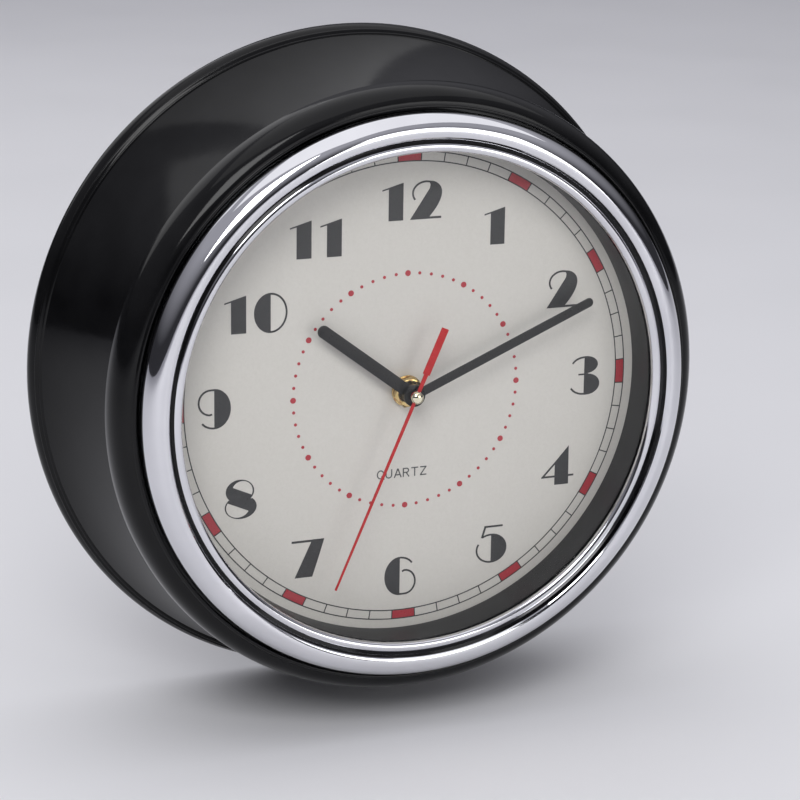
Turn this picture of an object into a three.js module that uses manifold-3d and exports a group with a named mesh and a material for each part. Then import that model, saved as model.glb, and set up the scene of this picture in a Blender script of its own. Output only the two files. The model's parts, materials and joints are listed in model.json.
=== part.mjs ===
// A deep round wall clock with a battery movement, in millimetres, +Z up.
// The clock faces -Y and the wall is the plane y = 0. The origin is the place on the wall
// where the screw carries the keyhole plate, HANG_HEIGHT above the axis of the hands.
// Inside the clock's own group, "depth" is the distance in front of the wall, so y = -depth,
// and x and z are measured from the axis of the hands.
import * as THREE from "three";
import { mergeVertices } from "three/addons/utils/BufferGeometryUtils.js";
import Module from "manifold-3d";

const wasm = await Module();
wasm.setup();

// ---------------------------------------------------------------- driving dimensions

const HANG_HEIGHT = 130;      // wall screw above the axis of the hands
const CASE_RADIUS = 150;      // widest part of the rear rim
const NECK_RADIUS = 127;      // narrow waist behind the front ring
const NECK_DEPTH = 68.3;      // front face of the rear case
const WALL = 2.5;             // moulded wall thickness
const RING_RADIUS = 135;      // crisp outer edge of the front ring
const RING_EDGE_DEPTH = 79;   // depth of that edge
const BEZEL_RADIUS = 124.5;   // outer edge of the chromed bezel
const BEZEL_SEAT_DEPTH = 88;  // shelf of the front ring that carries the bezel
const CREST_DEPTH = 102;      // foremost line of the bezel
const OPENING_RADIUS = 108;   // clear opening of the bezel and the inner ring
const DIAL_RADIUS = 110.5;    // dial, its board and the inner ring share this outside radius
const DIAL_DEPTH = 77;        // printed face of the dial
const GLASS_BACK = 95.7;
const GLASS_THICKNESS = 2;
const GAP = 0.3;              // clearance between separate pieces

const MOVEMENT_HALF = 28;     // half width and half height of the movement
const MOVEMENT_FRONT = 71.7;
const MOVEMENT_SPLIT = 61.7;  // the cover ends here and the base begins a gap further on
const MOVEMENT_BACK = 54.7;
const HOUSING_WALL = 1.2;
const FLOOR = 1.5;            // front and rear walls of the movement
const PARTITION_LOW = -11.4;  // wall between the battery bay and the gears
const PARTITION_HIGH = -10.2;

const BATTERY_RADIUS = 7.1;
const BATTERY_LENGTH = 50.5;
const BATTERY_Z = -19;
const BATTERY_DEPTH = 62.5;

const HOUR_ANGLE = 307.2;     // hands, in degrees clockwise from twelve
const MINUTE_ANGLE = 66.8;
const SECOND_ANGLE = 203.6;

const BUSHING_RADIUS = 3.9;
const BUSHING_FRONT = 82;
const HOUR_PIPE = { outer: 2.6, bore: 1.9, front: 84.2 };
const MINUTE_PIPE = { outer: 1.6, bore: 0.95, front: 87.6 };
const SECOND_ARBOR = { radius: 0.65, front: 90.1 };

const ROUND = 48;             // facets of the large rings
const FINE = 16;              // facets of small round pieces
const CORNER = 5;             // facets of an arc in a flat shape

// ---------------------------------------------------------------- solids

// A closed geometry becomes a manifold solid with its faces pointing out.
function solid(geometry) {
  const bare = geometry.index ? geometry.toNonIndexed() : geometry.clone();
  bare.deleteAttribute("normal");
  bare.deleteAttribute("uv");
  const merged = mergeVertices(bare, 1e-4);
  const index = merged.index.array;
  const triangles = [];
  for (let i = 0; i < index.length; i += 3) {
    const [a, b, c] = [index[i], index[i + 1], index[i + 2]];
    if (a !== b && b !== c && c !== a) triangles.push(a, b, c);
  }
  const build = (triVerts) => new wasm.Manifold(new wasm.Mesh({
    numProp: 3,
    vertProperties: Float32Array.from(merged.attributes.position.array),
    triVerts: Uint32Array.from(triVerts),
  }));
  const body = build(triangles);
  return body.volume() < 0 ? build(triangles.reverse()) : body;
}

// A solid turned about the clock's axis. The outline is a list of [radius, depth] points that
// starts and ends on the axis, or else closes on itself.
function turned(outline, segments = ROUND) {
  const onAxis = outline[0][0] === 0;
  const closed = onAxis ? outline : [...outline, outline[0]];
  const points = closed.map(([radius, depth]) => new THREE.Vector2(radius, -depth));
  return solid(new THREE.LatheGeometry(points, segments));
}

// A flat plate: a shape in x and z that fills the space between two depths.
function plate(shape, back, front) {
  const geometry = new THREE.ExtrudeGeometry(shape, {
    depth: front - back,
    bevelEnabled: false,
    curveSegments: CORNER,
  });
  return solid(geometry.rotateX(Math.PI / 2).translate(0, -back, 0));
}

// A round bar parallel to the clock's axis.
function rod(radius, back, front, [x, z] = [0, 0], segments = FINE) {
  const geometry = new THREE.CylinderGeometry(radius, radius, front - back, segments);
  return solid(geometry.translate(x, -(back + front) / 2, z));
}

// A round bar parallel to the x axis.
function crossRod(radius, left, right, depth, z, segments = FINE) {
  const geometry = new THREE.CylinderGeometry(radius, radius, right - left, segments);
  return solid(geometry.rotateZ(Math.PI / 2).translate((left + right) / 2, -depth, z));
}

function block([left, right], [back, front], [low, high]) {
  const geometry = new THREE.BoxGeometry(right - left, front - back, high - low);
  return solid(geometry.translate((left + right) / 2, -(back + front) / 2, (low + high) / 2));
}

function tube(outer, inner, back, front, segments = FINE) {
  return turned([[inner, back], [outer, back], [outer, front], [inner, front]], segments);
}

function mesh(name, body, material) {
  const { vertProperties, triVerts } = body.getMesh();
  const geometry = new THREE.BufferGeometry();
  geometry.setAttribute("position", new THREE.BufferAttribute(vertProperties, 3));
  geometry.setIndex(new THREE.BufferAttribute(triVerts, 1));
  const piece = new THREE.Mesh(geometry, material);
  piece.name = name;
  return piece;
}

// Points of a quarter ellipse from one corner of its box to the other; the curve leaves the
// first point along the radius when bulge is true and along the depth when it is false.
function quarter([r0, d0], [r1, d1], steps, bulge) {
  const points = [];
  for (let i = 0; i <= steps; i++) {
    const turn = (Math.PI / 2) * (i / steps);
    const [first, second] = bulge
      ? [Math.sin(turn), 1 - Math.cos(turn)]
      : [1 - Math.cos(turn), Math.sin(turn)];
    points.push([r0 + (r1 - r0) * first, d0 + (d1 - d0) * second]);
  }
  return points;
}

// A square shape with rounded corners, centred on the axis.
function roundedSquare(half, corner) {
  const shape = new THREE.Shape();
  const inner = half - corner;
  shape.absarc(inner, inner, corner, 0, Math.PI / 2);
  shape.absarc(-inner, inner, corner, Math.PI / 2, Math.PI);
  shape.absarc(-inner, -inner, corner, Math.PI, 1.5 * Math.PI);
  shape.absarc(inner, -inner, corner, 1.5 * Math.PI, 2 * Math.PI);
  shape.closePath();
  return shape;
}

// ---------------------------------------------------------------- materials

function finish(color, roughness, metalness = 0) {
  return new THREE.MeshStandardMaterial({ color, roughness, metalness });
}

const blackGloss = () => finish(0x0c0c0e, 0.15);
const blackMatte = () => finish(0x161617, 0.6);
const chrome = () => finish(0xdfe0e2, 0.06, 1);
const brass = () => finish(0xc9a45a, 0.25, 1);
const steel = () => finish(0xa9abad, 0.35, 1);
const whiteGear = () => finish(0xe8e6df, 0.5);

// ---------------------------------------------------------------- case

// The shoulder sweeps from the rear rim in to the neck; offset moves it inwards.
function shoulder(offset, steps) {
  const curve = new THREE.QuadraticBezierCurve(
    new THREE.Vector2(CASE_RADIUS - 4 - offset, 14),
    new THREE.Vector2(CASE_RADIUS - 15 - offset, 32),
    new THREE.Vector2(NECK_RADIUS - offset, 64),
  );
  return curve.getPoints(steps).map((point) => [point.x, point.y]);
}

const SCREW_CIRCLE = 118.5;
const SCREW_ANGLES = [45, 135, 225, 315];
const SEAT_DEPTH = 72.8;      // top of the collar that carries the dial board
const SEAT_WIDTH = 4;
const WEB_DEPTH = 65.6;       // rear face of the web that ties the collar to the shoulder
const RIM_LIP = 12;           // width of the flat back of the rim, which rests on the wall

const SCREW = { head: 3, headHeight: 1.7, shank: 1.5 };
const SCREW_POST = 4;         // radius of a moulded post
const SCREW_PILOT = 1.8;      // blind hole in a post
const SCREW_HOLE = 1.9;       // hole that a shank passes through
const HOLE_FACETS = 12;

function screwPlace(degrees) {
  const angle = THREE.MathUtils.degToRad(degrees);
  return [SCREW_CIRCLE * Math.cos(angle), SCREW_CIRCLE * Math.sin(angle)];
}

const SHELF = { half: 34, low: 108, high: 143, back: 4.5, front: 7.5 };
const SHELF_WINDOW = { half: 9, low: 112, high: 137 };
const HANGER_SCREW_X = 22;
const HANGER_SCREW_Z = 128;

// A shelf across the top of the rear rim carries the keyhole plate over a window.
function hangerShelf() {
  const shape = new THREE.Shape();
  const reach = CASE_RADIUS - WALL - 1;
  const edge = Math.acos(SHELF.half / reach);
  shape.moveTo(-SHELF.half, SHELF.low);
  shape.lineTo(SHELF.half, SHELF.low);
  shape.absarc(0, 0, reach, edge, Math.PI - edge);
  shape.closePath();
  const window = block(
    [-SHELF_WINDOW.half, SHELF_WINDOW.half],
    [SHELF.back - 1, SHELF.front + 1],
    [SHELF_WINDOW.low, SHELF_WINDOW.high],
  );
  let shelf = plate(shape, SHELF.back, SHELF.front).subtract(window);
  for (const side of [-1, 1]) {
    const place = [side * HANGER_SCREW_X, HANGER_SCREW_Z];
    const post = rod(SCREW_POST, SHELF.back, SHELF.front + 8, place);
    const pilot = rod(SCREW_PILOT, SHELF.back - 1, SHELF.front + 6, place, HOLE_FACETS);
    shelf = shelf.add(post).subtract(pilot);
  }
  return shelf;
}

// One turned wall from the rim on the wall to the collar of the dial, with screw holes in
// the web between its shoulder and its collar.
function rearCase() {
  const rimOut = quarter([CASE_RADIUS - 5, 0], [CASE_RADIUS, 6], 3, true);
  const ridge = [
    [CASE_RADIUS, 8.5],
    [CASE_RADIUS - 1.6, 11.5],
    [CASE_RADIUS - 3, 12],
    [CASE_RADIUS - 3.4, 13.2],
  ];
  const web = [
    [NECK_RADIUS, NECK_DEPTH],
    [DIAL_RADIUS, NECK_DEPTH],
    [DIAL_RADIUS, SEAT_DEPTH],
    [DIAL_RADIUS - SEAT_WIDTH, SEAT_DEPTH],
    [DIAL_RADIUS - SEAT_WIDTH, WEB_DEPTH],
    [NECK_RADIUS - 2 * WALL, WEB_DEPTH],
  ];
  const rimIn = [
    [CASE_RADIUS - 2 * WALL, 11],
    [CASE_RADIUS - WALL, 5],
    [CASE_RADIUS - WALL, WALL],
    [CASE_RADIUS - RIM_LIP, WALL],
    [CASE_RADIUS - RIM_LIP, 0],
  ];
  const outline = [
    ...rimOut,
    ...ridge,
    ...shoulder(0, 5),
    ...web,
    ...shoulder(WALL, 3).reverse(),
    ...rimIn,
  ];
  let body = turned(outline).add(hangerShelf());
  for (const degrees of SCREW_ANGLES) {
    const hole = rod(SCREW_HOLE, WEB_DEPTH - 1, NECK_DEPTH + 1, screwPlace(degrees), HOLE_FACETS);
    body = body.subtract(hole);
  }
  return mesh("rear_case", body, blackGloss());
}

// The front ring is an upturned channel: an outer skin, a shelf for the bezel and an inner
// sleeve round the dial, with screw posts standing inside the channel.
function frontRing() {
  const back = NECK_DEPTH + GAP;
  const sleeve = DIAL_RADIUS + GAP;
  const outline = [
    ...quarter([NECK_RADIUS, back], [RING_RADIUS - 0.6, RING_EDGE_DEPTH - 1.4], 3, false),
    [RING_RADIUS, RING_EDGE_DEPTH - 0.8],
    ...quarter([RING_RADIUS, RING_EDGE_DEPTH], [BEZEL_RADIUS + 2.6, 92], 4, false),
    [BEZEL_RADIUS + 1.8, 92.6],
    [BEZEL_RADIUS + 0.8, 92],
    [BEZEL_RADIUS + 0.8, BEZEL_SEAT_DEPTH],
    [sleeve, BEZEL_SEAT_DEPTH],
    [sleeve, back],
    [sleeve + 2, back],
    [sleeve + 2, BEZEL_SEAT_DEPTH - WALL],
    [NECK_RADIUS - WALL, BEZEL_SEAT_DEPTH - WALL],
    [RING_RADIUS - 2 * WALL, RING_EDGE_DEPTH],
    [NECK_RADIUS - WALL, back + 6],
    [NECK_RADIUS - WALL, back],
  ];
  let body = turned(outline);
  for (const degrees of SCREW_ANGLES) {
    const place = screwPlace(degrees);
    const post = rod(SCREW_POST, back, BEZEL_SEAT_DEPTH - 1, place);
    const pilot = rod(SCREW_PILOT, back - 1, back + 12, place, HOLE_FACETS);
    body = body.add(post).subtract(pilot);
  }
  return mesh("front_ring", body, blackGloss());
}

// A pressed ring: a skirt on the front ring's seat, a broad outer roll, a fine groove and a
// narrow bead over the edge of the glass.
function chromeBezel() {
  const seat = BEZEL_SEAT_DEPTH + GAP;
  const under = GLASS_BACK + GLASS_THICKNESS + GAP;
  const outline = [
    [BEZEL_RADIUS, seat],
    [BEZEL_RADIUS, 92.6],
    ...quarter([BEZEL_RADIUS, 93.6], [117, CREST_DEPTH], 4, false),
    [113.6, 101.2],
    [112.9, 100.3],
    [112, 100.9],
    [110.6, 100.7],
    [OPENING_RADIUS, under + 0.6],
    [OPENING_RADIUS, under],
    [DIAL_RADIUS + 1.4, under],
    [DIAL_RADIUS + 1.4, seat],
    [DIAL_RADIUS + 3.4, seat],
    [DIAL_RADIUS + 3.8, under],
    [117, CREST_DEPTH - 2.4],
    [BEZEL_RADIUS - 3, 94.5],
    [BEZEL_RADIUS - 2, seat],
  ];
  return mesh("chrome_bezel", turned(outline), chrome());
}

function lensGlass() {
  const glass = rod(DIAL_RADIUS + 1, GLASS_BACK, GLASS_BACK + GLASS_THICKNESS, [0, 0], ROUND);
  const material = finish(0xf4f7f6, 0.03);
  material.transparent = true;
  material.opacity = 0.2;
  return mesh("lens_glass", glass, material);
}

function innerRing() {
  const ring = tube(DIAL_RADIUS, OPENING_RADIUS, DIAL_DEPTH + GAP, GLASS_BACK - GAP, ROUND);
  return mesh("inner_ring", ring, blackGloss());
}

const BOARD = { back: 73.1, front: 76.1 };
const DIAL_HOLE = 4.3;        // clears the threaded bushing

function dialBoard() {
  const board = tube(DIAL_RADIUS - GAP, DIAL_HOLE, BOARD.back, BOARD.front, ROUND);
  return mesh("dial_board", board, finish(0x8a6f4d, 0.8));
}

function dialSheet() {
  const sheet = tube(DIAL_RADIUS - GAP, DIAL_HOLE, BOARD.front + GAP, DIAL_DEPTH, ROUND);
  return mesh("dial_sheet", sheet, finish(0xc6c4be, 0.55));
}

// ---------------------------------------------------------------- screws and hanger

// A pan-head screw with a cross recess. Its shank starts at the given depth, under the head,
// and points to the front.
function screw(name, place, depth, length) {
  const back = depth - SCREW.headHeight;
  const outline = [
    [0, back],
    [SCREW.head * 0.75, back],
    [SCREW.head, back + 0.7],
    [SCREW.head, depth],
    [SCREW.shank, depth],
    [SCREW.shank, depth + length],
    [0, depth + length + 0.9],
  ];
  const arm = SCREW.head * 0.6;
  const slot = [back - 1, back + 1];
  const body = turned(outline, FINE)
    .subtract(block([-arm, arm], slot, [-0.4, 0.4]))
    .subtract(block([-0.4, 0.4], slot, [-arm, arm]));
  const piece = mesh(name, body, steel());
  piece.position.set(place[0], 0, place[1]);
  return piece;
}

function caseScrews() {
  return SCREW_ANGLES.map((degrees, i) =>
    screw(`case_screw_${i + 1}`, screwPlace(degrees), WEB_DEPTH - GAP, 10));
}

const PLATE = { half: 30, foot: 12, low: 112, high: 136, thick: 1.2 };
const KEYHOLE = { entry: 5, slot: 2.5, drop: 10 };

// The keyhole plate lies a gap behind its shelf. The wall screw's head goes in through the
// round hole and the clock drops until the shank stops in the top of the slot.
function hangerPlate() {
  const front = SHELF.back - GAP;
  const back = front - PLATE.thick;
  const shape = new THREE.Shape();
  shape.moveTo(-PLATE.half, HANGER_SCREW_Z - 6);
  shape.lineTo(-PLATE.foot, PLATE.low);
  shape.lineTo(PLATE.foot, PLATE.low);
  shape.lineTo(PLATE.half, HANGER_SCREW_Z - 6);
  shape.lineTo(PLATE.half, PLATE.high);
  shape.lineTo(-PLATE.half, PLATE.high);
  shape.closePath();
  const through = [back - 1, front + 1];
  const entryZ = HANG_HEIGHT - KEYHOLE.drop;
  let body = plate(shape, back, front)
    .subtract(rod(KEYHOLE.entry, ...through, [0, entryZ]))
    .subtract(rod(KEYHOLE.slot, ...through, [0, HANG_HEIGHT]))
    .subtract(block([-KEYHOLE.slot, KEYHOLE.slot], through, [entryZ, HANG_HEIGHT]));
  for (const side of [-1, 1]) {
    const place = [side * HANGER_SCREW_X, HANGER_SCREW_Z];
    body = body.subtract(rod(SCREW_HOLE, ...through, place, HOLE_FACETS));
  }
  return mesh("hanger_plate", body, steel());
}

function hangerScrews() {
  const depth = SHELF.back - GAP - PLATE.thick - GAP;
  return [["left", -1], ["right", 1]].map(([side, sign]) =>
    screw(`hanger_screw_${side}`, [sign * HANGER_SCREW_X, HANGER_SCREW_Z], depth, 7));
}

// ---------------------------------------------------------------- gear train

const ADDENDUM = 0.9;         // tooth heights in modules
const DEDENDUM = 1.15;
const ROOT_SHARE = 0.32;      // half width of a tooth's root as a share of the tooth pitch

// A disc with pointed teeth, one of them centred on the angle called phase, measured from +x to +z.
function gear(teeth, module, phase, back, front) {
  const pitchRadius = (module * teeth) / 2;
  const tip = pitchRadius + ADDENDUM * module;
  const root = pitchRadius - DEDENDUM * module;
  const pitch = (2 * Math.PI) / teeth;
  const corners = [[root, -ROOT_SHARE], [tip, 0], [root, ROOT_SHARE]];
  const points = [];
  for (let i = 0; i < teeth; i++) {
    for (const [radius, share] of corners) {
      const angle = phase + (i + share) * pitch;
      points.push(new THREE.Vector2(radius * Math.cos(angle), radius * Math.sin(angle)));
    }
  }
  return plate(new THREE.Shape(points), back, front);
}

// The phase that puts a gear in mesh with one whose phase is known. The two centres lie on
// the line at the given direction, from the known gear to the new one.
function meshedPhase(knownPhase, knownTeeth, direction, teeth) {
  const shift = ((direction - knownPhase) * knownTeeth) / teeth;
  return direction + Math.PI + Math.PI / teeth + shift;
}

function polar(distance, direction, [x, z] = [0, 0]) {
  return [x + distance * Math.cos(direction), z + distance * Math.sin(direction)];
}

const { degToRad } = THREE.MathUtils;
const centreDistance = (pair) => (pair.module * (pair.pinion + pair.wheel)) / 2;

// Each pair is a small pinion driving or driven by a larger wheel.
const ROTOR_PAIR = { pinion: 6, wheel: 36, module: 0.3 };
const TRANSFER_PAIR = { pinion: 6, wheel: 30, module: 0.4 };
const SECOND_PAIR = { pinion: 6, wheel: 45, module: 0.36 };
const THIRD_PAIR = { pinion: 6, wheel: 48, module: 0.34 };
const CANNON_PAIR = { pinion: 8, wheel: 24, module: 0.6 };
const HOUR_PAIR = { pinion: 8, wheel: 32, module: 0.48 };

const THIRD_DIRECTION = Math.PI;
const TRANSFER_DIRECTION = degToRad(75);
const ROTOR_DIRECTION = degToRad(90);
const MINUTE_DIRECTION = degToRad(20);

const THIRD_PLACE = polar(centreDistance(SECOND_PAIR), THIRD_DIRECTION);
const TRANSFER_PLACE = polar(centreDistance(TRANSFER_PAIR), TRANSFER_DIRECTION);
const ROTOR_PLACE = polar(centreDistance(ROTOR_PAIR), ROTOR_DIRECTION, TRANSFER_PLACE);
const MINUTE_PLACE = polar(centreDistance(CANNON_PAIR), MINUTE_DIRECTION);

// Depths of the layers of gears, from the front of the movement to the back.
const LAYER = {
  hour: [67.4, 68.5],
  motion: [65.8, 66.8],
  centre: [64, 65],
  third: [62.2, 63.2],
  seconds: [60.2, 61.2],
  transfer: [58.2, 59.2],
};
const PINION_EXTRA = 0.2;     // a pinion stands this much proud of the wheel it meshes with
const PIVOT_BACK = 56.6;
const ARBOR = 0.6;

function pinionLayer([back, front]) {
  return [back - PINION_EXTRA, front + PINION_EXTRA];
}

function placed(name, body, place, material) {
  const piece = mesh(name, body, material);
  piece.position.set(place[0], 0, place[1]);
  return piece;
}

function rotor() {
  const pinion = gear(ROTOR_PAIR.pinion, ROTOR_PAIR.module, 0, ...pinionLayer(LAYER.transfer));
  const magnet = rod(MAGNET_RADIUS, LAYER.third[0] - 1, LAYER.third[1] + 1);
  const body = rod(0.5, PIVOT_BACK, 66).add(pinion).add(magnet);
  return placed("rotor", body, ROTOR_PLACE, finish(0x3a3a3c, 0.5, 0.6));
}

function transferWheel() {
  const phase = meshedPhase(0, ROTOR_PAIR.pinion, ROTOR_DIRECTION + Math.PI, ROTOR_PAIR.wheel);
  const wheel = gear(ROTOR_PAIR.wheel, ROTOR_PAIR.module, phase, ...LAYER.transfer);
  const pinion = gear(TRANSFER_PAIR.pinion, TRANSFER_PAIR.module, 0, ...pinionLayer(LAYER.seconds));
  const body = rod(ARBOR, PIVOT_BACK, 63).add(wheel).add(pinion);
  return placed("transfer_wheel", body, TRANSFER_PLACE, whiteGear());
}

function secondsWheel() {
  const direction = TRANSFER_DIRECTION + Math.PI;
  const phase = meshedPhase(0, TRANSFER_PAIR.pinion, direction, TRANSFER_PAIR.wheel);
  const wheel = gear(TRANSFER_PAIR.wheel, TRANSFER_PAIR.module, phase, ...LAYER.seconds);
  const pinion = gear(SECOND_PAIR.pinion, SECOND_PAIR.module, 0, ...pinionLayer(LAYER.third));
  const body = rod(SECOND_ARBOR.radius, PIVOT_BACK, SECOND_ARBOR.front).add(wheel).add(pinion);
  return placed("seconds_wheel", body, [0, 0], whiteGear());
}

function thirdWheel() {
  const phase = meshedPhase(0, SECOND_PAIR.pinion, THIRD_DIRECTION, SECOND_PAIR.wheel);
  const wheel = gear(SECOND_PAIR.wheel, SECOND_PAIR.module, phase, ...LAYER.third);
  const pinion = gear(THIRD_PAIR.pinion, THIRD_PAIR.module, 0, ...pinionLayer(LAYER.centre));
  const body = rod(ARBOR, PIVOT_BACK, 69.8).add(wheel).add(pinion);
  return placed("third_wheel", body, THIRD_PLACE, whiteGear());
}

function centreWheel() {
  const phase = meshedPhase(0, THIRD_PAIR.pinion, THIRD_DIRECTION + Math.PI, THIRD_PAIR.wheel);
  const wheel = gear(THIRD_PAIR.wheel, THIRD_PAIR.module, phase, ...LAYER.centre);
  const bore = rod(MINUTE_PIPE.outer + GAP, LAYER.centre[0] - 1, LAYER.centre[1] + 1);
  return placed("centre_wheel", wheel.subtract(bore), [0, 0], whiteGear());
}

// The cannon pinion and its pipe turn with the centre wheel and carry the minute hand.
function minuteArbor() {
  const back = LAYER.third[1] + 0.6;
  const pinion = gear(CANNON_PAIR.pinion, CANNON_PAIR.module, 0, ...pinionLayer(LAYER.motion));
  const body = rod(MINUTE_PIPE.outer, back, MINUTE_PIPE.front)
    .add(pinion)
    .subtract(rod(MINUTE_PIPE.bore, back - 1, MINUTE_PIPE.front + 1));
  return placed("minute_arbor", body, [0, 0], steel());
}

function minuteWheel() {
  const phase = meshedPhase(0, CANNON_PAIR.pinion, MINUTE_DIRECTION, CANNON_PAIR.wheel);
  const wheel = gear(CANNON_PAIR.wheel, CANNON_PAIR.module, phase, ...LAYER.motion);
  const pinion = gear(HOUR_PAIR.pinion, HOUR_PAIR.module, 0, ...pinionLayer(LAYER.hour));
  const body = rod(ARBOR, PIVOT_BACK + 1, 69.8).add(wheel).add(pinion);
  return placed("minute_wheel", body, MINUTE_PLACE, whiteGear());
}

function hourWheel() {
  const direction = MINUTE_DIRECTION + Math.PI;
  const phase = meshedPhase(0, HOUR_PAIR.pinion, direction, HOUR_PAIR.wheel);
  const body = gear(HOUR_PAIR.wheel, HOUR_PAIR.module, phase, ...LAYER.hour)
    .add(rod(HOUR_PIPE.outer, LAYER.hour[0], HOUR_PIPE.front))
    .subtract(rod(HOUR_PIPE.bore, LAYER.hour[0] - 1, HOUR_PIPE.front + 1));
  return placed("hour_wheel", body, [0, 0], whiteGear());
}

const KNOB = { pitchRadius: 4.5, back: 51.4, shaft: 2.2, ribs: 18 };

// The knob's ribbed rim is a coarse gear outline.
function settingKnob() {
  const module = (2 * KNOB.pitchRadius) / KNOB.ribs;
  const body = gear(KNOB.ribs, module, 0, KNOB.back, MOVEMENT_BACK - GAP)
    .add(rod(KNOB.shaft, MOVEMENT_BACK - 1, PIVOT_BACK + 1 - GAP));
  return placed("setting_knob", body, MINUTE_PLACE, blackMatte());
}

// ---------------------------------------------------------------- movement

const BAY_X = [-MOVEMENT_HALF + HOUSING_WALL, MOVEMENT_HALF - HOUSING_WALL];
const BAY_Z = [-MOVEMENT_HALF + HOUSING_WALL, PARTITION_LOW];
const GEAR_Z = [PARTITION_HIGH, MOVEMENT_HALF - HOUSING_WALL];
const MOVEMENT_CORNER = 3;

function movementBase() {
  const back = MOVEMENT_SPLIT + GAP;
  const hollow = [back - 1, MOVEMENT_FRONT - FLOOR];
  const body = plate(roundedSquare(MOVEMENT_HALF, MOVEMENT_CORNER), back, MOVEMENT_FRONT)
    .subtract(block(BAY_X, hollow, BAY_Z))
    .subtract(block(BAY_X, hollow, GEAR_Z))
    .subtract(rod(BUSHING_RADIUS + GAP, hollow[1] - 1, MOVEMENT_FRONT + 1));
  return mesh("movement_base", body, blackMatte());
}

// The rear cover leaves the battery bay open, so the cell goes in and out from behind.
function movementCover() {
  const through = [MOVEMENT_BACK - 1, MOVEMENT_SPLIT + 1];
  const body = plate(roundedSquare(MOVEMENT_HALF, MOVEMENT_CORNER), MOVEMENT_BACK, MOVEMENT_SPLIT)
    .subtract(block(BAY_X, through, BAY_Z))
    .subtract(block(BAY_X, [MOVEMENT_BACK + FLOOR, through[1]], GEAR_Z))
    .subtract(rod(KNOB.shaft + GAP, ...through, MINUTE_PLACE));
  return mesh("movement_cover", body, blackMatte());
}

function threadedBushing() {
  const inside = MOVEMENT_FRONT - FLOOR - GAP;
  const bore = HOUR_PIPE.outer + GAP;
  const outline = [
    [bore, inside - 0.9],
    [5.4, inside - 0.9],
    [5.4, inside],
    [BUSHING_RADIUS, inside],
    [BUSHING_RADIUS, BUSHING_FRONT - 0.4],
    [BUSHING_RADIUS - 0.4, BUSHING_FRONT],
    [bore, BUSHING_FRONT],
  ];
  return mesh("threaded_bushing", turned(outline, FINE), brass());
}

const NUT = { corner: 7.1, back: 78.4, front: 81.4, chamfer: 0.8, turn: degToRad(12) };
const WASHER = { radius: 6.9, back: DIAL_DEPTH + GAP, front: 78.1 };
const RUBBER_RADIUS = 8;

// A hexagon whose front corners are turned down to a chamfer.
function hexNut() {
  const corners = [0, 1, 2, 3, 4, 5].map((i) => polar(NUT.corner, NUT.turn + (i * Math.PI) / 3));
  const hexagon = new THREE.Shape(corners.map(([x, z]) => new THREE.Vector2(x, z)));
  const turnedBlank = turned([
    [0, NUT.back],
    [NUT.corner + 1, NUT.back],
    [NUT.corner + 1, NUT.front - NUT.chamfer],
    [NUT.corner - 1.3, NUT.front],
    [0, NUT.front],
  ], FINE);
  const body = plate(hexagon, NUT.back, NUT.front)
    .intersect(turnedBlank)
    .subtract(rod(BUSHING_RADIUS + GAP, NUT.back - 1, NUT.front + 1));
  return mesh("hex_nut", body, brass());
}

function washers() {
  const bore = BUSHING_RADIUS + GAP;
  const flat = tube(WASHER.radius, bore, WASHER.back, WASHER.front);
  const soft = tube(RUBBER_RADIUS, bore, MOVEMENT_FRONT + GAP, BOARD.back - GAP);
  return [
    mesh("brass_washer", flat, brass()),
    mesh("rubber_washer", soft, finish(0x1a1a1a, 0.9)),
  ];
}

const STATOR = { back: 62.2, front: 63.2, low: 9.2, high: 17.3, half: 20, leg: 5 };
const CORE = { low: 20.6, high: 23.6, back: 63.5, front: 64.5 };
const WINDING = { radius: 3.6, half: 12 };
const MAGNET_RADIUS = 2.6;

// The stator is a U-shaped plate with a round hole for the rotor's magnet.
function stator() {
  const depth = [STATOR.back, STATOR.front];
  let body = block([-STATOR.half, STATOR.half], depth, [STATOR.low, STATOR.high])
    .subtract(rod(MAGNET_RADIUS + 0.6, STATOR.back - 1, STATOR.front + 1, ROTOR_PLACE));
  for (const left of [-STATOR.half, STATOR.half - STATOR.leg]) {
    body = body.add(block([left, left + STATOR.leg], depth, [STATOR.high - 1, CORE.high]));
  }
  return mesh("stator", body, steel());
}

// The coil is wound round a flat bar that bridges the legs of the stator.
function coil() {
  const core = block([-STATOR.half, STATOR.half], [CORE.back, CORE.front], [CORE.low, CORE.high]);
  const bore = block(
    [-WINDING.half - 1, WINDING.half + 1],
    [CORE.back - GAP, CORE.front + GAP],
    [CORE.low - GAP, CORE.high + GAP],
  );
  const middle = [(CORE.back + CORE.front) / 2, (CORE.low + CORE.high) / 2];
  const winding = crossRod(WINDING.radius, -WINDING.half, WINDING.half, ...middle).subtract(bore);
  return [
    mesh("coil_core", core, steel()),
    mesh("coil_winding", winding, finish(0xb5622e, 0.4, 0.7)),
  ];
}

const CIRCUIT = { x: [-25, -8], z: [9.5, 25], back: 57, front: 58 };
const CRYSTAL = { radius: 1, left: -22, right: -15, z: 12.5 };
const CHIP_PLACE = [-14, 20];

// A small board with the can of the crystal and the potted blob of the driver chip.
function electronics() {
  const face = CIRCUIT.front + GAP;
  const board = block(CIRCUIT.x, [CIRCUIT.back, CIRCUIT.front], CIRCUIT.z);
  const crystal = crossRod(
    CRYSTAL.radius, CRYSTAL.left, CRYSTAL.right, face + CRYSTAL.radius, CRYSTAL.z,
  );
  const chip = turned([[0, face], [2.6, face], [2.2, face + 0.8], [0, face + 1.2]], FINE);
  return [
    mesh("circuit_board", board, finish(0x7a5a2c, 0.6)),
    mesh("quartz_crystal", crystal, steel()),
    placed("driver_chip", chip, CHIP_PLACE, blackMatte()),
  ];
}

const CONTACT = { thick: 0.4, dimple: 2, half: 5, back: 57, front: 69 };

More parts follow.
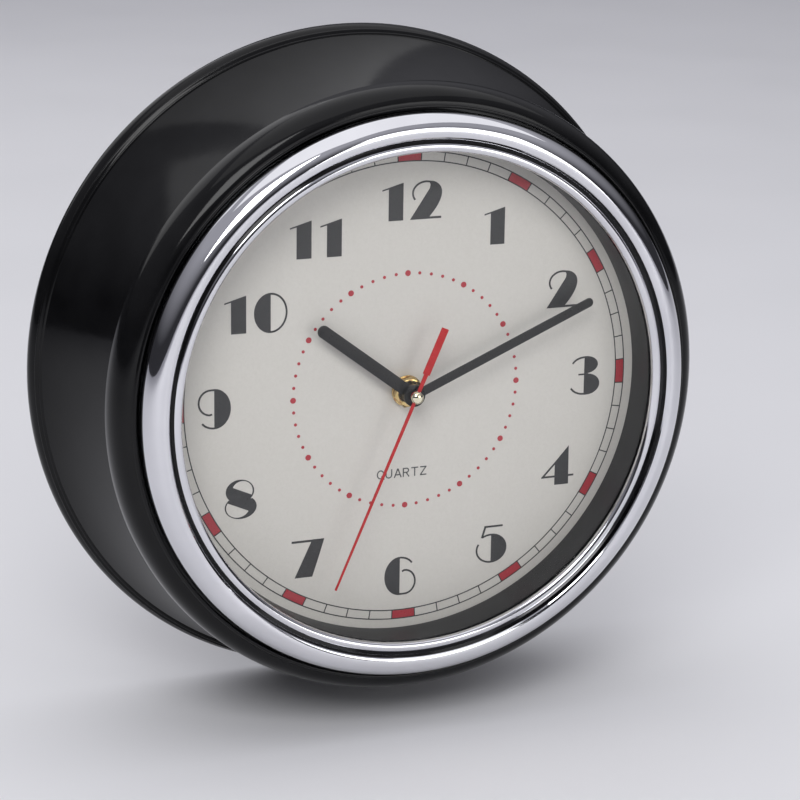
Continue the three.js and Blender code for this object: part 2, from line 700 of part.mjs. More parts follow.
// A sprung contact is a plate with a pressed dimple that faces the end of the cell. It stands
// at the end of the bay on the given side, +1 or -1.
function batteryContact(name, side) {
  const face = BAY_X[1] - GAP - CONTACT.thick;
  const span = (near, far) => (side > 0 ? [near, far] : [-far, -near]);
  const height = [BATTERY_Z - CONTACT.half, BATTERY_Z + CONTACT.half];
  const sheet = block(span(face, face + CONTACT.thick), [CONTACT.back, CONTACT.front], height);
  const reach = span(face - 0.4, face + CONTACT.thick / 2);
  const dimple = crossRod(CONTACT.dimple, ...reach, BATTERY_DEPTH, BATTERY_Z, HOLE_FACETS);
  return mesh(name, sheet.add(dimple), steel());
}

const BATTERY_NUB = { radius: 2.7, height: 1.5 };
const BATTERY_CHAMFER = 0.6;

function battery() {
  const half = BATTERY_LENGTH / 2;
  const top = half - BATTERY_NUB.height;
  const outline = [
    [0, -half],
    [BATTERY_RADIUS - BATTERY_CHAMFER, -half],
    [BATTERY_RADIUS, -half + BATTERY_CHAMFER],
    [BATTERY_RADIUS, top - BATTERY_CHAMFER],
    [BATTERY_RADIUS - BATTERY_CHAMFER, top],
    [BATTERY_NUB.radius, top],
    [BATTERY_NUB.radius, half],
    [0, half],
  ];
  const piece = mesh("battery", turned(outline, FINE), finish(0x55585c, 0.4, 0.3));
  piece.rotation.z = Math.PI / 2;
  piece.position.set(0, -BATTERY_DEPTH, BATTERY_Z);
  return piece;
}

// ---------------------------------------------------------------- hands

// A straight blade that points to twelve, with a round tip and a round end about the axis.
function blade(length, halfWidth, hubRadius) {
  const shape = new THREE.Shape();
  const tip = length - halfWidth;
  const shoulderAngle = Math.asin(halfWidth / hubRadius);
  shape.moveTo(halfWidth, tip);
  shape.absarc(0, tip, halfWidth, 0, Math.PI);
  shape.absarc(0, 0, hubRadius, Math.PI / 2 + shoulderAngle, 2.5 * Math.PI - shoulderAngle);
  shape.closePath();
  return shape;
}

function hand(name, body, degrees, material) {
  const piece = mesh(name, body, material);
  piece.rotation.y = degToRad(degrees);
  return piece;
}

const HOUR_HAND = { length: 53.5, half: 2.75, hub: 4.4, sheet: [83, 83.5], boss: [82.4, 84] };
const MINUTE_HAND = { length: 90.7, half: 2.05, hub: 4.8, sheet: [86.2, 86.7], boss: [84.6, 87.2] };

// A sheet blade on a round boss that is pressed onto its pipe.
function straightHand(name, size, pipe, degrees) {
  const [back, front] = size.boss;
  const body = plate(blade(size.length, size.half, size.hub), ...size.sheet)
    .add(rod(size.hub, back, front))
    .subtract(rod(pipe.outer + GAP, back - 1, front + 1));
  return hand(name, body, degrees, blackMatte());
}

const POINTER = { reach: 91, tip: 0.5, root: 0.8, tail: 32, neck: 10.5, paddle: 1.7 };
const POINTER_DEPTH = { collar: 87.9, back: 88.6, front: 89 };

// The long side tapers to its tip; the short side is a narrow neck and a wider paddle.
function secondHand() {
  const shape = new THREE.Shape([
    new THREE.Vector2(POINTER.tip, POINTER.reach),
    new THREE.Vector2(-POINTER.tip, POINTER.reach),
    new THREE.Vector2(-POINTER.root, 0),
    new THREE.Vector2(-POINTER.root - 0.2, -POINTER.neck),
    new THREE.Vector2(-POINTER.paddle, -POINTER.neck),
    new THREE.Vector2(-POINTER.paddle, -POINTER.tail),
    new THREE.Vector2(POINTER.paddle, -POINTER.tail),
    new THREE.Vector2(POINTER.paddle, -POINTER.neck),
    new THREE.Vector2(POINTER.root + 0.2, -POINTER.neck),
    new THREE.Vector2(POINTER.root, 0),
  ]);
  const { collar, back, front } = POINTER_DEPTH;
  const body = plate(shape, back, front)
    .add(rod(2.4, back, front))
    .add(rod(1.7, collar, front))
    .subtract(rod(SECOND_ARBOR.radius + GAP, collar - 1, front + 1));
  return hand("second_hand", body, SECOND_ANGLE, finish(0xb31b22, 0.35));
}

const CAP = { radius: 2.85, height: 2.4 };

// A blind dome over the end of the second hand's arbor.
function secondHandCap() {
  const back = POINTER_DEPTH.front + GAP;
  const bore = SECOND_ARBOR.radius + GAP;
  const outline = [
    [0, SECOND_ARBOR.front + GAP],
    [bore, SECOND_ARBOR.front + GAP],
    [bore, back],
    [CAP.radius - 0.25, back],
    ...quarter([CAP.radius, back + 0.4], [0, back + CAP.height], 4, false),
  ];
  return mesh("second_hand_cap", turned(outline, FINE), brass());
}

// ---------------------------------------------------------------- assembly

const movement = new THREE.Group();
movement.add(
  movementBase(),
  movementCover(),
  threadedBushing(),
  hexNut(),
  ...washers(),
  stator(),
  ...coil(),
  ...electronics(),
  batteryContact("battery_contact_plus", 1),
  batteryContact("battery_contact_minus", -1),
  battery(),
  rotor(),
  transferWheel(),
  secondsWheel(),
  thirdWheel(),
  centreWheel(),
  minuteArbor(),
  minuteWheel(),
  hourWheel(),
  settingKnob(),
);

const hands = new THREE.Group();
hands.add(
  straightHand("hour_hand", HOUR_HAND, HOUR_PIPE, HOUR_ANGLE),
  straightHand("minute_hand", MINUTE_HAND, MINUTE_PIPE, MINUTE_ANGLE),
  secondHand(),
  secondHandCap(),
);

const clock = new THREE.Group();
clock.add(
  rearCase(),
  frontRing(),
  chromeBezel(),
  lensGlass(),
  innerRing(),
  dialBoard(),
  dialSheet(),
  ...caseScrews(),
  hangerPlate(),
  ...hangerScrews(),
  movement,
  hands,
);
clock.position.z = -HANG_HEIGHT;

const assembly = new THREE.Group();
assembly.add(clock);

export default assembly;
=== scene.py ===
"""A deep round wall clock with a chromed bezel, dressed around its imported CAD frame."""
import json
import math

import bmesh
import bpy
from mathutils import Matrix, Vector, geometry

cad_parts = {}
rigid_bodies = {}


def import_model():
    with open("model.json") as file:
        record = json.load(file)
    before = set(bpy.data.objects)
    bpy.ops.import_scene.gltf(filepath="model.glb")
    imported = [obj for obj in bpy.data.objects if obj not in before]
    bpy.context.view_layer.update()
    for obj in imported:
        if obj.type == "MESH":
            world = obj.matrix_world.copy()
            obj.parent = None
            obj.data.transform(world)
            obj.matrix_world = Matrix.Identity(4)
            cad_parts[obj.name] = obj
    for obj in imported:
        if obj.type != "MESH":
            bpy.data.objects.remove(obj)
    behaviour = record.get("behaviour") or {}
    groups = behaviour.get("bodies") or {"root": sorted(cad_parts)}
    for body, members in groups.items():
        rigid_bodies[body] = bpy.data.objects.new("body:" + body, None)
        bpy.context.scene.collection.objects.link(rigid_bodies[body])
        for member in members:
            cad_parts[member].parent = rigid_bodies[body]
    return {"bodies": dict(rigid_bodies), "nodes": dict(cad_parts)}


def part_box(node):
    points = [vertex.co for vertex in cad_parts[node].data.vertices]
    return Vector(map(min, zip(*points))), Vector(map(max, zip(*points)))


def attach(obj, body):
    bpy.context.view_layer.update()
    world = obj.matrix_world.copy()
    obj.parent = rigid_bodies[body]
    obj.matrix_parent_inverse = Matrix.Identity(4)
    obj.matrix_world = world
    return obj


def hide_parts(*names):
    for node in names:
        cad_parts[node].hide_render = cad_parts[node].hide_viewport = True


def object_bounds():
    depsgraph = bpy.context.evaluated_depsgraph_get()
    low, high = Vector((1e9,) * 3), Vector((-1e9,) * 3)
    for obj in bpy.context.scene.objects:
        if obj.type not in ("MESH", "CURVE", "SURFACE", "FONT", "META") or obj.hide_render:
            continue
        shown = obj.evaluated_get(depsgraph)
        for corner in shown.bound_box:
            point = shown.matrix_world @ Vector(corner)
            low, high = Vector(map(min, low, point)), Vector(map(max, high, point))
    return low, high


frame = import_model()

CAD_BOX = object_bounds()

# Lengths are in millimetres until a point is made; "depth" is the distance in front of the
# wall, x and z are measured from the axis of the hands, and angles run clockwise from twelve.
MM = 0.001
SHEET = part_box("dial_sheet")
AXIS = (SHEET[0] + SHEET[1]) / 2

CASE_RADIUS = 150
RIM_OPENING = 138
NECK_RADIUS = 127
NECK_DEPTH = 68.3
WALL = 2.5
RING_RADIUS = 135
RING_EDGE_DEPTH = 79
BEZEL_RADIUS = 124.5
BEZEL_SEAT = 88
CREST_DEPTH = 102
OPENING_RADIUS = 108
DIAL_RADIUS = 110.5
DIAL_DEPTH = 77
GLASS_BACK = 95.7
GLASS_FRONT = 97.7
SEAT_DEPTH = 72.8
WEB_DEPTH = 65.6
GAP = 0.3

SHELF_HALF = 34
SHELF_LOW = 108
HANGER_SCREW_X = 22
HANGER_SCREW_Z = 128
HANG_HEIGHT = 130
KNOB_PLACE = (9.6 * math.cos(math.radians(20)), 9.6 * math.sin(math.radians(20)))

HOUR_ANGLE = 307.2
MINUTE_ANGLE = 66.8
SECOND_ANGLE = 203.6


def point(x, z, depth):
    """A place on the clock as a Blender vector in metres."""
    return Vector((AXIS.x + x * MM, -depth * MM, AXIS.z + z * MM))


def polar(radius, degrees):
    """The x and z of a place by its radius and its angle clockwise from twelve."""
    angle = math.radians(degrees)
    return radius * math.sin(angle), radius * math.cos(angle)


# ---------------------------------------------------------------- outlines


def arc(cx, cz, rx, rz, start, end, steps=24):
    """Points of an ellipse's arc, with angles in degrees from +x towards +z."""
    points = []
    for i in range(steps + 1):
        angle = math.radians(start + (end - start) * i / steps)
        points.append((cx + rx * math.cos(angle), cz + rz * math.sin(angle)))
    return points


def bezier(p0, p1, p2, steps=16):
    """Points of a quadratic curve, both ends included."""
    points = []
    for i in range(steps + 1):
        t = i / steps
        a, b, c = (1 - t) ** 2, 2 * t * (1 - t), t * t
        points.append((a * p0[0] + b * p1[0] + c * p2[0], a * p0[1] + b * p1[1] + c * p2[1]))
    return points


def rounded(corners, steps=5):
    """A closed outline from (a, b) corners and (a, b, fillet) corners that are rounded off."""
    points = []
    for i, corner in enumerate(corners):
        if len(corner) == 2:
            points.append(corner)
            continue
        here = Vector(corner[:2])
        back = (Vector(corners[i - 1][:2]) - here).normalized()
        ahead = (Vector(corners[(i + 1) % len(corners)][:2]) - here).normalized()
        reach = corner[2] / math.tan(back.angle(ahead) / 2)
        points += bezier(here + back * reach, here, here + ahead * reach, steps)
    return points


def ribbon(centre_line, width):
    """The outline of a line of constant width drawn along some points."""
    left, right = [], []
    for i, place in enumerate(centre_line):
        before = Vector(centre_line[max(i - 1, 0)])
        after = Vector(centre_line[min(i + 1, len(centre_line) - 1)])
        along = (after - before).normalized()
        side = Vector((-along.y, along.x)) * width / 2
        left.append(tuple(Vector(place) + side))
        right.append(tuple(Vector(place) - side))
    return left + right[::-1]


# ---------------------------------------------------------------- meshes


def adopt(name, bm, material, body, replaces=(), crisp=32):
    """Turns a bmesh into a finished piece that rides on a body."""
    bmesh.ops.remove_doubles(bm, verts=bm.verts, dist=1e-7)
    bmesh.ops.dissolve_degenerate(bm, edges=bm.edges, dist=1e-8)
    bmesh.ops.recalc_face_normals(bm, faces=bm.faces)
    mesh = bpy.data.meshes.new(name)
    bm.to_mesh(mesh)
    bm.free()
    mesh.shade_smooth()
    mesh.set_sharp_from_angle(angle=math.radians(crisp))
    piece = bpy.data.objects.new(name, mesh)
    bpy.context.scene.collection.objects.link(piece)
    mesh.materials.append(material)
    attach(piece, body)
    if replaces:
        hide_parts(*replaces)
    return piece


def turned(outline, segments=192, place=(0, 0)):
    """A bmesh of revolution from a closed outline of (radius, depth)."""
    bm = bmesh.new()
    rings = []
    for step in range(segments):
        ring = []
        for radius, depth in outline:
            x, z = polar(radius, 360 * step / segments)
            ring.append(bm.verts.new(point(place[0] + x, place[1] + z, depth)))
        rings.append(ring)
    count = len(outline)
    for step in range(segments):
        here, after = rings[step], rings[(step + 1) % segments]
        for i in range(count):
            j = (i + 1) % count
            if outline[i][0] == outline[j][0] == 0:
                continue
            bm.faces.new((here[i], here[j], after[j], after[i]))
    return bm


def plate(bm, outline, back, front):
    """Adds a flat plate to a bmesh: an outline in x and z between two depths."""
    lower = [bm.verts.new(point(x, z, back)) for x, z in outline]
    upper = [bm.verts.new(point(x, z, front)) for x, z in outline]
    bm.faces.new(lower)
    bm.faces.new(upper[::-1])
    for i in range(len(outline)):
        j = (i + 1) % len(outline)
        bm.faces.new((lower[i], upper[i], upper[j], lower[j]))
    return bm


def soften(bm, width, angle=40, segments=2):
    """Bevels every edge that turns by more than an angle."""
    bm.normal_update()
    edges = [e for e in bm.edges if e.is_manifold and e.calc_face_angle(0) > math.radians(angle)]
    bmesh.ops.bevel(bm, geom=edges, offset=width * MM, segments=segments, profile=0.6, affect="EDGES")
    return bm


def block(bm, xs, depths, zs):
    """Adds a box to a bmesh."""
    (left, right), (low, high) = xs, zs
    corners = [(left, low), (right, low), (right, high), (left, high)]
    return plate(bm, corners, *depths)


def turn_about_axis(bm, degrees):
    """Turns a bmesh clockwise about the axis of the hands."""
    centre = Vector((AXIS.x, 0, AXIS.z))
    turn = Matrix.Rotation(math.radians(degrees), 3, "Y")
    bmesh.ops.rotate(bm, verts=bm.verts, cent=centre, matrix=turn)
    return bm


def cut(piece, cutters):
    """Subtracts closed bmeshes from a piece and keeps the result as its mesh."""
    helpers = []
    for bm in cutters:
        bmesh.ops.recalc_face_normals(bm, faces=bm.faces)
        mesh = bpy.data.meshes.new("cutter")
        bm.to_mesh(mesh)
        bm.free()
        helper = bpy.data.objects.new("cutter", mesh)
        bpy.context.scene.collection.objects.link(helper)
        helpers.append(helper)
        step = piece.modifiers.new("cut", "BOOLEAN")
        step.operation = "DIFFERENCE"
        step.solver = "EXACT"
        step.object = helper
    bpy.context.view_layer.update()
    evaluated = piece.evaluated_get(bpy.context.evaluated_depsgraph_get())
    mesh = bpy.data.meshes.new_from_object(evaluated)
    piece.modifiers.clear()
    piece.data = mesh
    for helper in helpers:
        bpy.data.objects.remove(helper)
    return piece


def round_edges(piece, width):
    """Rounds the crisp edges that a cut leaves on a piece."""
    edge = piece.modifiers.new("edges", "BEVEL")
    edge.width = width * MM
    edge.segments = 2
    edge.limit_method = "ANGLE"


# ---------------------------------------------------------------- materials


def new_material(name, color, roughness, metallic=0.0, **sockets):
    material = bpy.data.materials.new(name)
    material.use_nodes = True
    shader = material.node_tree.nodes["Principled BSDF"]
    shader.inputs["Base Color"].default_value = (*color, 1)
    shader.inputs["Roughness"].default_value = roughness
    shader.inputs["Metallic"].default_value = metallic
    for socket, value in sockets.items():
        shader.inputs[socket.replace("_", " ")].default_value = value
    return material


def add(material, kind, **settings):
    node = material.node_tree.nodes.new(kind)
    for name, value in settings.items():
        setattr(node, name, value)
    return node


def link(material, source, target):
    material.node_tree.links.new(source, target)


def shader_of(material):
    return material.node_tree.nodes["Principled BSDF"]


def noise(material, scale, detail=3.0, stretch=(1, 1, 1)):
    """A noise texture on the object's own coordinates, with scale in features per metre."""
    coords = add(material, "ShaderNodeTexCoord")
    mapping = add(material, "ShaderNodeMapping")
    mapping.inputs["Scale"].default_value = stretch
    texture = add(material, "ShaderNodeTexNoise")
    texture.inputs["Scale"].default_value = scale
    texture.inputs["Detail"].default_value = detail
    link(material, coords.outputs["Object"], mapping.inputs["Vector"])
    link(material, mapping.outputs["Vector"], texture.inputs["Vector"])
    return texture


def spread(material, source, low, high, start=0.3, end=0.7):
    """Maps a 0 to 1 value onto a range."""
    node = add(material, "ShaderNodeMapRange")
    node.inputs["From Min"].default_value = start
    node.inputs["From Max"].default_value = end
    node.inputs["To Min"].default_value = low
    node.inputs["To Max"].default_value = high
    link(material, source, node.inputs["Value"])
    return node.outputs["Result"]


def vary_roughness(material, scale, low, high, detail=4.0):
    texture = noise(material, scale, detail)
    roughness = spread(material, texture.outputs["Fac"], low, high)
    link(material, roughness, shader_of(material).inputs["Roughness"])


def vary_color(material, scale, dark, light, detail=4.0, stretch=(1, 1, 1), start=0.3, end=0.7):
    texture = noise(material, scale, detail, stretch)
    ramp = add(material, "ShaderNodeValToRGB")
    ramp.color_ramp.elements[0].position = start
    ramp.color_ramp.elements[0].color = (*dark, 1)
    ramp.color_ramp.elements[1].position = end
    ramp.color_ramp.elements[1].color = (*light, 1)
    link(material, texture.outputs["Fac"], ramp.inputs["Fac"])
    link(material, ramp.outputs["Color"], shader_of(material).inputs["Base Color"])
    return ramp


def bump(material, height, strength, distance):
    node = add(material, "ShaderNodeBump")
    node.inputs["Strength"].default_value = strength
    node.inputs["Distance"].default_value = distance
    link(material, height, node.inputs["Height"])
    link(material, node.outputs["Normal"], shader_of(material).inputs["Normal"])


def black_gloss(name, low, high):
    """Polished black moulding with a faint flow texture, fine dust and soft handling marks."""
    material = new_material(name, (0.004, 0.004, 0.0045), low, IOR=1.3)
    vary_color(material, 55, (0.003, 0.003, 0.0034), (0.006, 0.006, 0.0066))
    vary_roughness(material, 38, low, high, 6)
    bump(material, noise(material, 160, 2).outputs["Fac"], 0.05, 0.0004)
    return material


def chrome():
    """Bright plating over a polished moulding, a little wavy and very slightly hazed."""
    material = new_material("chrome", (0.68, 0.68, 0.71), 0.05, 1.0)
    vary_color(material, 30, (0.64, 0.64, 0.67), (0.72, 0.72, 0.75))
    vary_roughness(material, 70, 0.025, 0.075, 5)
    bump(material, noise(material, 90, 2).outputs["Fac"], 0.04, 0.0004)
    return material


def glass():
    """Clear flat glass with a trace of dust; light on its way to or from the dial passes freely."""
    material = new_material("clear_glass", (0.985, 0.995, 0.99), 0.0, IOR=1.28, Transmission_Weight=1.0)
    vary_roughness(material, 14, 0.0, 0.004)
    path = add(material, "ShaderNodeLightPath")
    passes = add(material, "ShaderNodeMath", operation="MAXIMUM")
    clear = add(material, "ShaderNodeBsdfTransparent")
    mix = add(material, "ShaderNodeMixShader")
    link(material, path.outputs["Is Shadow Ray"], passes.inputs[0])
    link(material, path.outputs["Is Reflection Ray"], passes.inputs[1])
    link(material, passes.outputs["Value"], mix.inputs["Fac"])
    link(material, shader_of(material).outputs["BSDF"], mix.inputs[1])
    link(material, clear.outputs["BSDF"], mix.inputs[2])
    output = material.node_tree.nodes["Material Output"]
    link(material, mix.outputs["Shader"], output.inputs["Surface"])
    return material


def dial_paper():
    """Matte coated sheet in warm grey, with fine fibres and a faint mottle."""
    material = new_material("dial_paper", (0.62, 0.595, 0.55), 0.55)
    vary_color(material, 900, (0.605, 0.58, 0.535), (0.635, 0.61, 0.565), 6)
    vary_roughness(material, 300, 0.48, 0.62)
    bump(material, noise(material, 2600, 4).outputs["Fac"], 0.08, 0.00006)
    return material


def ink(name, dark, light):
    """Screen-printed ink whose cover varies a little."""
    material = new_material(name, light, 0.42)
    vary_color(material, 1500, dark, light, 5)
    vary_roughness(material, 700, 0.34, 0.5)
    return material


def hand_paint(name, dark, light, roughness):
    """Satin stove paint on stamped sheet, with a fine drawn grain."""
    material = new_material(name, light, roughness, IOR=1.35)
    vary_color(material, 260, dark, light, 5)
    vary_roughness(material, 400, roughness - 0.06, roughness + 0.08)
    bump(material, noise(material, 1800, 3).outputs["Fac"], 0.06, 0.00004)
    return material


def metal(name, dark, light, rough_low, rough_high, scale=500):
    """Bare or plated metal with uneven tone and fine scuffs."""
    material = new_material(name, light, rough_high, 1.0)
    vary_color(material, scale, dark, light, 5)
    vary_roughness(material, scale * 1.7, rough_low, rough_high, 6)
    bump(material, noise(material, scale * 5, 3).outputs["Fac"], 0.08, 0.00003)
    return material


def moulded(name, dark, light, rough_low, rough_high, grain=2400):
    """Moulded plastic with a spark-eroded grain."""
    material = new_material(name, light, rough_high)
    vary_color(material, 120, dark, light, 4)
    vary_roughness(material, 350, rough_low, rough_high)
    bump(material, noise(material, grain, 2).outputs["Fac"], 0.25, 0.00005)
    return material


def hardboard():
    """Pressed brown fibre board."""
    material = new_material("hardboard", (0.2, 0.12, 0.06), 0.8)
    vary_color(material, 900, (0.15, 0.088, 0.042), (0.27, 0.17, 0.09), 12)
    bump(material, noise(material, 1200, 8).outputs["Fac"], 0.6, 0.0001)
    return material


def wound_copper():
    """Enamelled wire laid in fine turns along the coil."""
    material = new_material("wound_copper", (0.55, 0.2, 0.08), 0.3, 1.0)
    vary_color(material, 700, (0.42, 0.13, 0.05), (0.68, 0.27, 0.11))
    coords = add(material, "ShaderNodeTexCoord")
    turns = add(material, "ShaderNodeTexWave", bands_direction="X")
    turns.inputs["Scale"].default_value = 1600
    link(material, coords.outputs["Object"], turns.inputs["Vector"])
    bump(material, turns.outputs["Fac"], 0.6, 0.0001)
    return material


def battery_jacket():
    """Printed shrink jacket: a dark body and a coloured band towards the plus end."""
    material = new_material("battery_jacket", (0.02, 0.03, 0.05), 0.25)
    coords = add(material, "ShaderNodeTexCoord")
    split = add(material, "ShaderNodeSeparateXYZ")
    ramp = add(material, "ShaderNodeValToRGB")
    ramp.color_ramp.interpolation = "CONSTANT"
    ramp.color_ramp.elements[0].color = (0.012, 0.016, 0.03, 1)
    ramp.color_ramp.elements[1].position = 0.5
    ramp.color_ramp.elements[1].color = (0.55, 0.33, 0.04, 1)
    link(material, coords.outputs["Object"], split.inputs["Vector"])
    link(material, spread(material, split.outputs["X"], 0, 1, -0.012, 0.036), ramp.inputs["Fac"])
    link(material, ramp.outputs["Color"], shader_of(material).inputs["Base Color"])
    vary_roughness(material, 300, 0.18, 0.32)
    return material


BLACK = black_gloss("black_gloss", 0.07, 0.16)
SATIN_BLACK = black_gloss("satin_black", 0.42, 0.5)
CHROME = chrome()
GLASS = glass()
PAPER = dial_paper()
INK_BLACK = ink("ink_black", (0.008, 0.008, 0.009), (0.014, 0.014, 0.015))
INK_RED = ink("ink_red", (0.36, 0.010, 0.022), (0.42, 0.014, 0.028))
INK_GREY = ink("ink_grey", (0.05, 0.05, 0.05), (0.08, 0.08, 0.08))
HAND_BLACK = hand_paint("hand_black", (0.003, 0.003, 0.0035), (0.006, 0.006, 0.0065), 0.4)
HAND_RED = hand_paint("hand_red", (0.42, 0.002, 0.004), (0.48, 0.003, 0.006), 0.5)
HUB_BLACK = hand_paint("hub_black", (0.002, 0.002, 0.002), (0.004, 0.004, 0.004), 0.16)
BRASS = metal("brass", (0.62, 0.43, 0.16), (0.80, 0.60, 0.28), 0.12, 0.3)
CAP_GOLD = metal("cap_gold", (0.82, 0.74, 0.52), (0.92, 0.86, 0.66), 0.04, 0.1)
STEEL = metal("zinc_steel", (0.46, 0.47, 0.48), (0.62, 0.63, 0.64), 0.25, 0.42)
IRON = metal("soft_iron", (0.34, 0.34, 0.34), (0.46, 0.45, 0.44), 0.3, 0.5)
MAGNET = metal("magnet", (0.07, 0.07, 0.075), (0.12, 0.12, 0.125), 0.4, 0.6)
MATTE = moulded("black_matte", (0.009, 0.009, 0.01), (0.018, 0.018, 0.019), 0.45, 0.65)
GEAR = moulded("gear_plastic", (0.66, 0.64, 0.58), (0.78, 0.76, 0.70), 0.3, 0.45)
LAMINATE = moulded("circuit_board", (0.13, 0.07, 0.02), (0.24, 0.14, 0.05), 0.4, 0.6, 900)
RUBBER = moulded("rubber", (0.008, 0.008, 0.008), (0.02, 0.02, 0.02), 0.7, 0.9)
BOARD = hardboard()
COPPER = wound_copper()
JACKET = battery_jacket()


# ---------------------------------------------------------------- case


def rear_case():
    """The flared rear moulding: rolled rim, two fine ridges, shoulder, neck and dial seat."""
    rim = arc(CASE_RADIUS - 6.5, 6.5, 6.5, 6.5, -90, 42, 14)
    ridges = arc(147.3, 12.1, 0.9, 0.7, -60, 80, 6) + arc(146.0, 13.9, 0.8, 0.6, -60, 60, 6)
    shoulder = bezier((145.6, 14.6), (135, 32), (NECK_RADIUS, 64), 28)
    seat = rounded([
        (NECK_RADIUS, NECK_DEPTH, 0.3),
        (DIAL_RADIUS, NECK_DEPTH),
        (DIAL_RADIUS, SEAT_DEPTH, 0.4),
        (DIAL_RADIUS - 4, SEAT_DEPTH, 0.4),
        (DIAL_RADIUS - 4, WEB_DEPTH, 0.5),
        (NECK_RADIUS - 2 * WALL, WEB_DEPTH, 1.5),
    ])
    inside = bezier((NECK_RADIUS - WALL, 62), (132.5, 32), (142.5, 14), 20)
    rim_inside = rounded([
        (CASE_RADIUS - 2 * WALL, 11, 3),
        (CASE_RADIUS - WALL, 5, 1.5),
        (CASE_RADIUS - WALL, WALL, 0.5),
        (RIM_OPENING, WALL, 0.6),
        (RIM_OPENING, 0, 0.6),
    ])
    shell = turned(rim + ridges + shoulder + seat + inside + rim_inside, 256)
    adopt("rear_case_shell", shell, BLACK, "case", ["rear_case"])


def hanger_shelf():
    """The moulded shelf with a window that carries the keyhole plate."""
    reach = CASE_RADIUS - WALL - 1
    edge = math.degrees(math.acos(SHELF_HALF / reach))
    outline = [(-SHELF_HALF, SHELF_LOW), (SHELF_HALF, SHELF_LOW)]
    outline += arc(0, 0, reach, reach, edge, 180 - edge)
    board = plate(bmesh.new(), outline, 4.5, 7.5)
    shelf = adopt("rear_case_shelf", board, BLACK, "case", ["rear_case"])
    window = rounded([(-9, 112, 2), (9, 112, 2), (9, 137, 2), (-9, 137, 2)])
    cut(shelf, [plate(bmesh.new(), window, 3, 9)])
    for side, sign in (("left", -1), ("right", 1)):
        post = rounded([(1.8, 7.4), (4, 7.4), (4, 15.5, 0.3), (1.8, 15.5, 0.2)], 3)
        tube = turned(post, 40, (sign * HANGER_SCREW_X, HANGER_SCREW_Z))
        adopt("shelf_post_" + side, tube, BLACK, "case", ["rear_case"])


def front_ring():
    """The black ring in front of the neck: cove, crisp lip, sloping face and a bead."""
    back = NECK_DEPTH + GAP
    sleeve = DIAL_RADIUS + GAP
    cove = arc(NECK_RADIUS + 7.6, back, 7.6, 8.6, 180, 92, 12)
    face = arc(BEZEL_RADIUS + 2, RING_EDGE_DEPTH, RING_RADIUS - BEZEL_RADIUS - 2, 12.6, 2, 84, 18)
    bead = arc(BEZEL_RADIUS + 1.8, 91.9, 0.8, 0.7, 40, 170, 8)
    inside = [
        (BEZEL_RADIUS + 0.8, BEZEL_SEAT),
        (sleeve, BEZEL_SEAT),
        (sleeve, back),
        (sleeve + 2, back),
        (sleeve + 2, BEZEL_SEAT - WALL),
        (NECK_RADIUS - WALL, BEZEL_SEAT - WALL),
        (RING_RADIUS - 2 * WALL, RING_EDGE_DEPTH),
        (NECK_RADIUS - WALL, back + 6),
        (NECK_RADIUS - WALL, back),
    ]
    lip = [(RING_RADIUS - 0.25, RING_EDGE_DEPTH - 1.6), (RING_RADIUS, RING_EDGE_DEPTH - 1.2)]
    ring = turned(cove + lip + face + bead + inside, 256)
    adopt("front_ring_moulding", ring, BLACK, "case", ["front_ring"], 28)


def bezel():
    """The chromed ring: a broad roll, a groove inside its crest and a lip; a gloss black band in the
    groove is a painted dark reflection.
    """
    seat = BEZEL_SEAT + GAP
    under = GLASS_FRONT + GAP
    roll = arc(117, 92.6, BEZEL_RADIUS - 117, CREST_DEPTH - 92.6, 0, 100, 26)
    groove = [(114.7, 101.6), (114.3, 101.2), (113.6, 98.9)]
    lip = arc(110.3, 98.5, 2.3, 1.9, 47, 185, 14)
    inside = rounded([
        (OPENING_RADIUS, under + 0.1),
        (OPENING_RADIUS + 0.3, under),
        (DIAL_RADIUS + 1.4, under),
        (DIAL_RADIUS + 1.4, seat),
        (DIAL_RADIUS + 3.4, seat),
        (DIAL_RADIUS + 3.8, under, 0.5),
        (117, CREST_DEPTH - 2.4, 2),
        (BEZEL_RADIUS - 3, 94.5, 2),
        (BEZEL_RADIUS - 2, seat),
        (BEZEL_RADIUS, seat, 0.3),
    ])
    # Painted reflection: a thin gloss black ring on the lip's outer flank stands in for the dark
    # surroundings that the chrome groove mirrors.
    painted_reflection_band = [(113.6, 99.1), (111.85, 100.05), (111.9, 99.88), (113.5, 98.95)]
    adopt("groove_painted_reflection", turned(painted_reflection_band, 480), BLACK, "case", ["chrome_bezel"])
    ring = turned(roll + groove + lip + inside, 480)
    adopt("bezel_ring", ring, CHROME, "case", ["chrome_bezel"], 24)


def lens():
    """The flat pane behind the bezel's lip."""
    outline = rounded([
        (0, GLASS_BACK),
        (DIAL_RADIUS + 1, GLASS_BACK, 0.3),
        (DIAL_RADIUS + 1, GLASS_FRONT, 0.3),
        (0, GLASS_FRONT),
    ])
    adopt("flat_lens", turned(outline, 128), GLASS, "case", ["lens_glass"])


def inner_wall():
    """The black band between the dial and the glass."""
    outline = rounded([
        (OPENING_RADIUS, DIAL_DEPTH + GAP, 0.2),
        (DIAL_RADIUS, DIAL_DEPTH + GAP, 0.2),
        (DIAL_RADIUS, GLASS_BACK - GAP, 0.2),
        (OPENING_RADIUS, GLASS_BACK - GAP, 0.2),
    ])
    wall = turned(outline, 256)
    adopt("inner_wall", wall, SATIN_BLACK, "case", ["inner_ring"])


# ---------------------------------------------------------------- dial

PRINT = (DIAL_DEPTH + 0.01, DIAL_DEPTH + 0.06)
THIN = 0.85
TRACK_IN, TRACK_OUT = 100, 104
LINE = 0.5
DOT_RING = 51.7
STROKE = 0.55
CAP_HEIGHT = 4.1


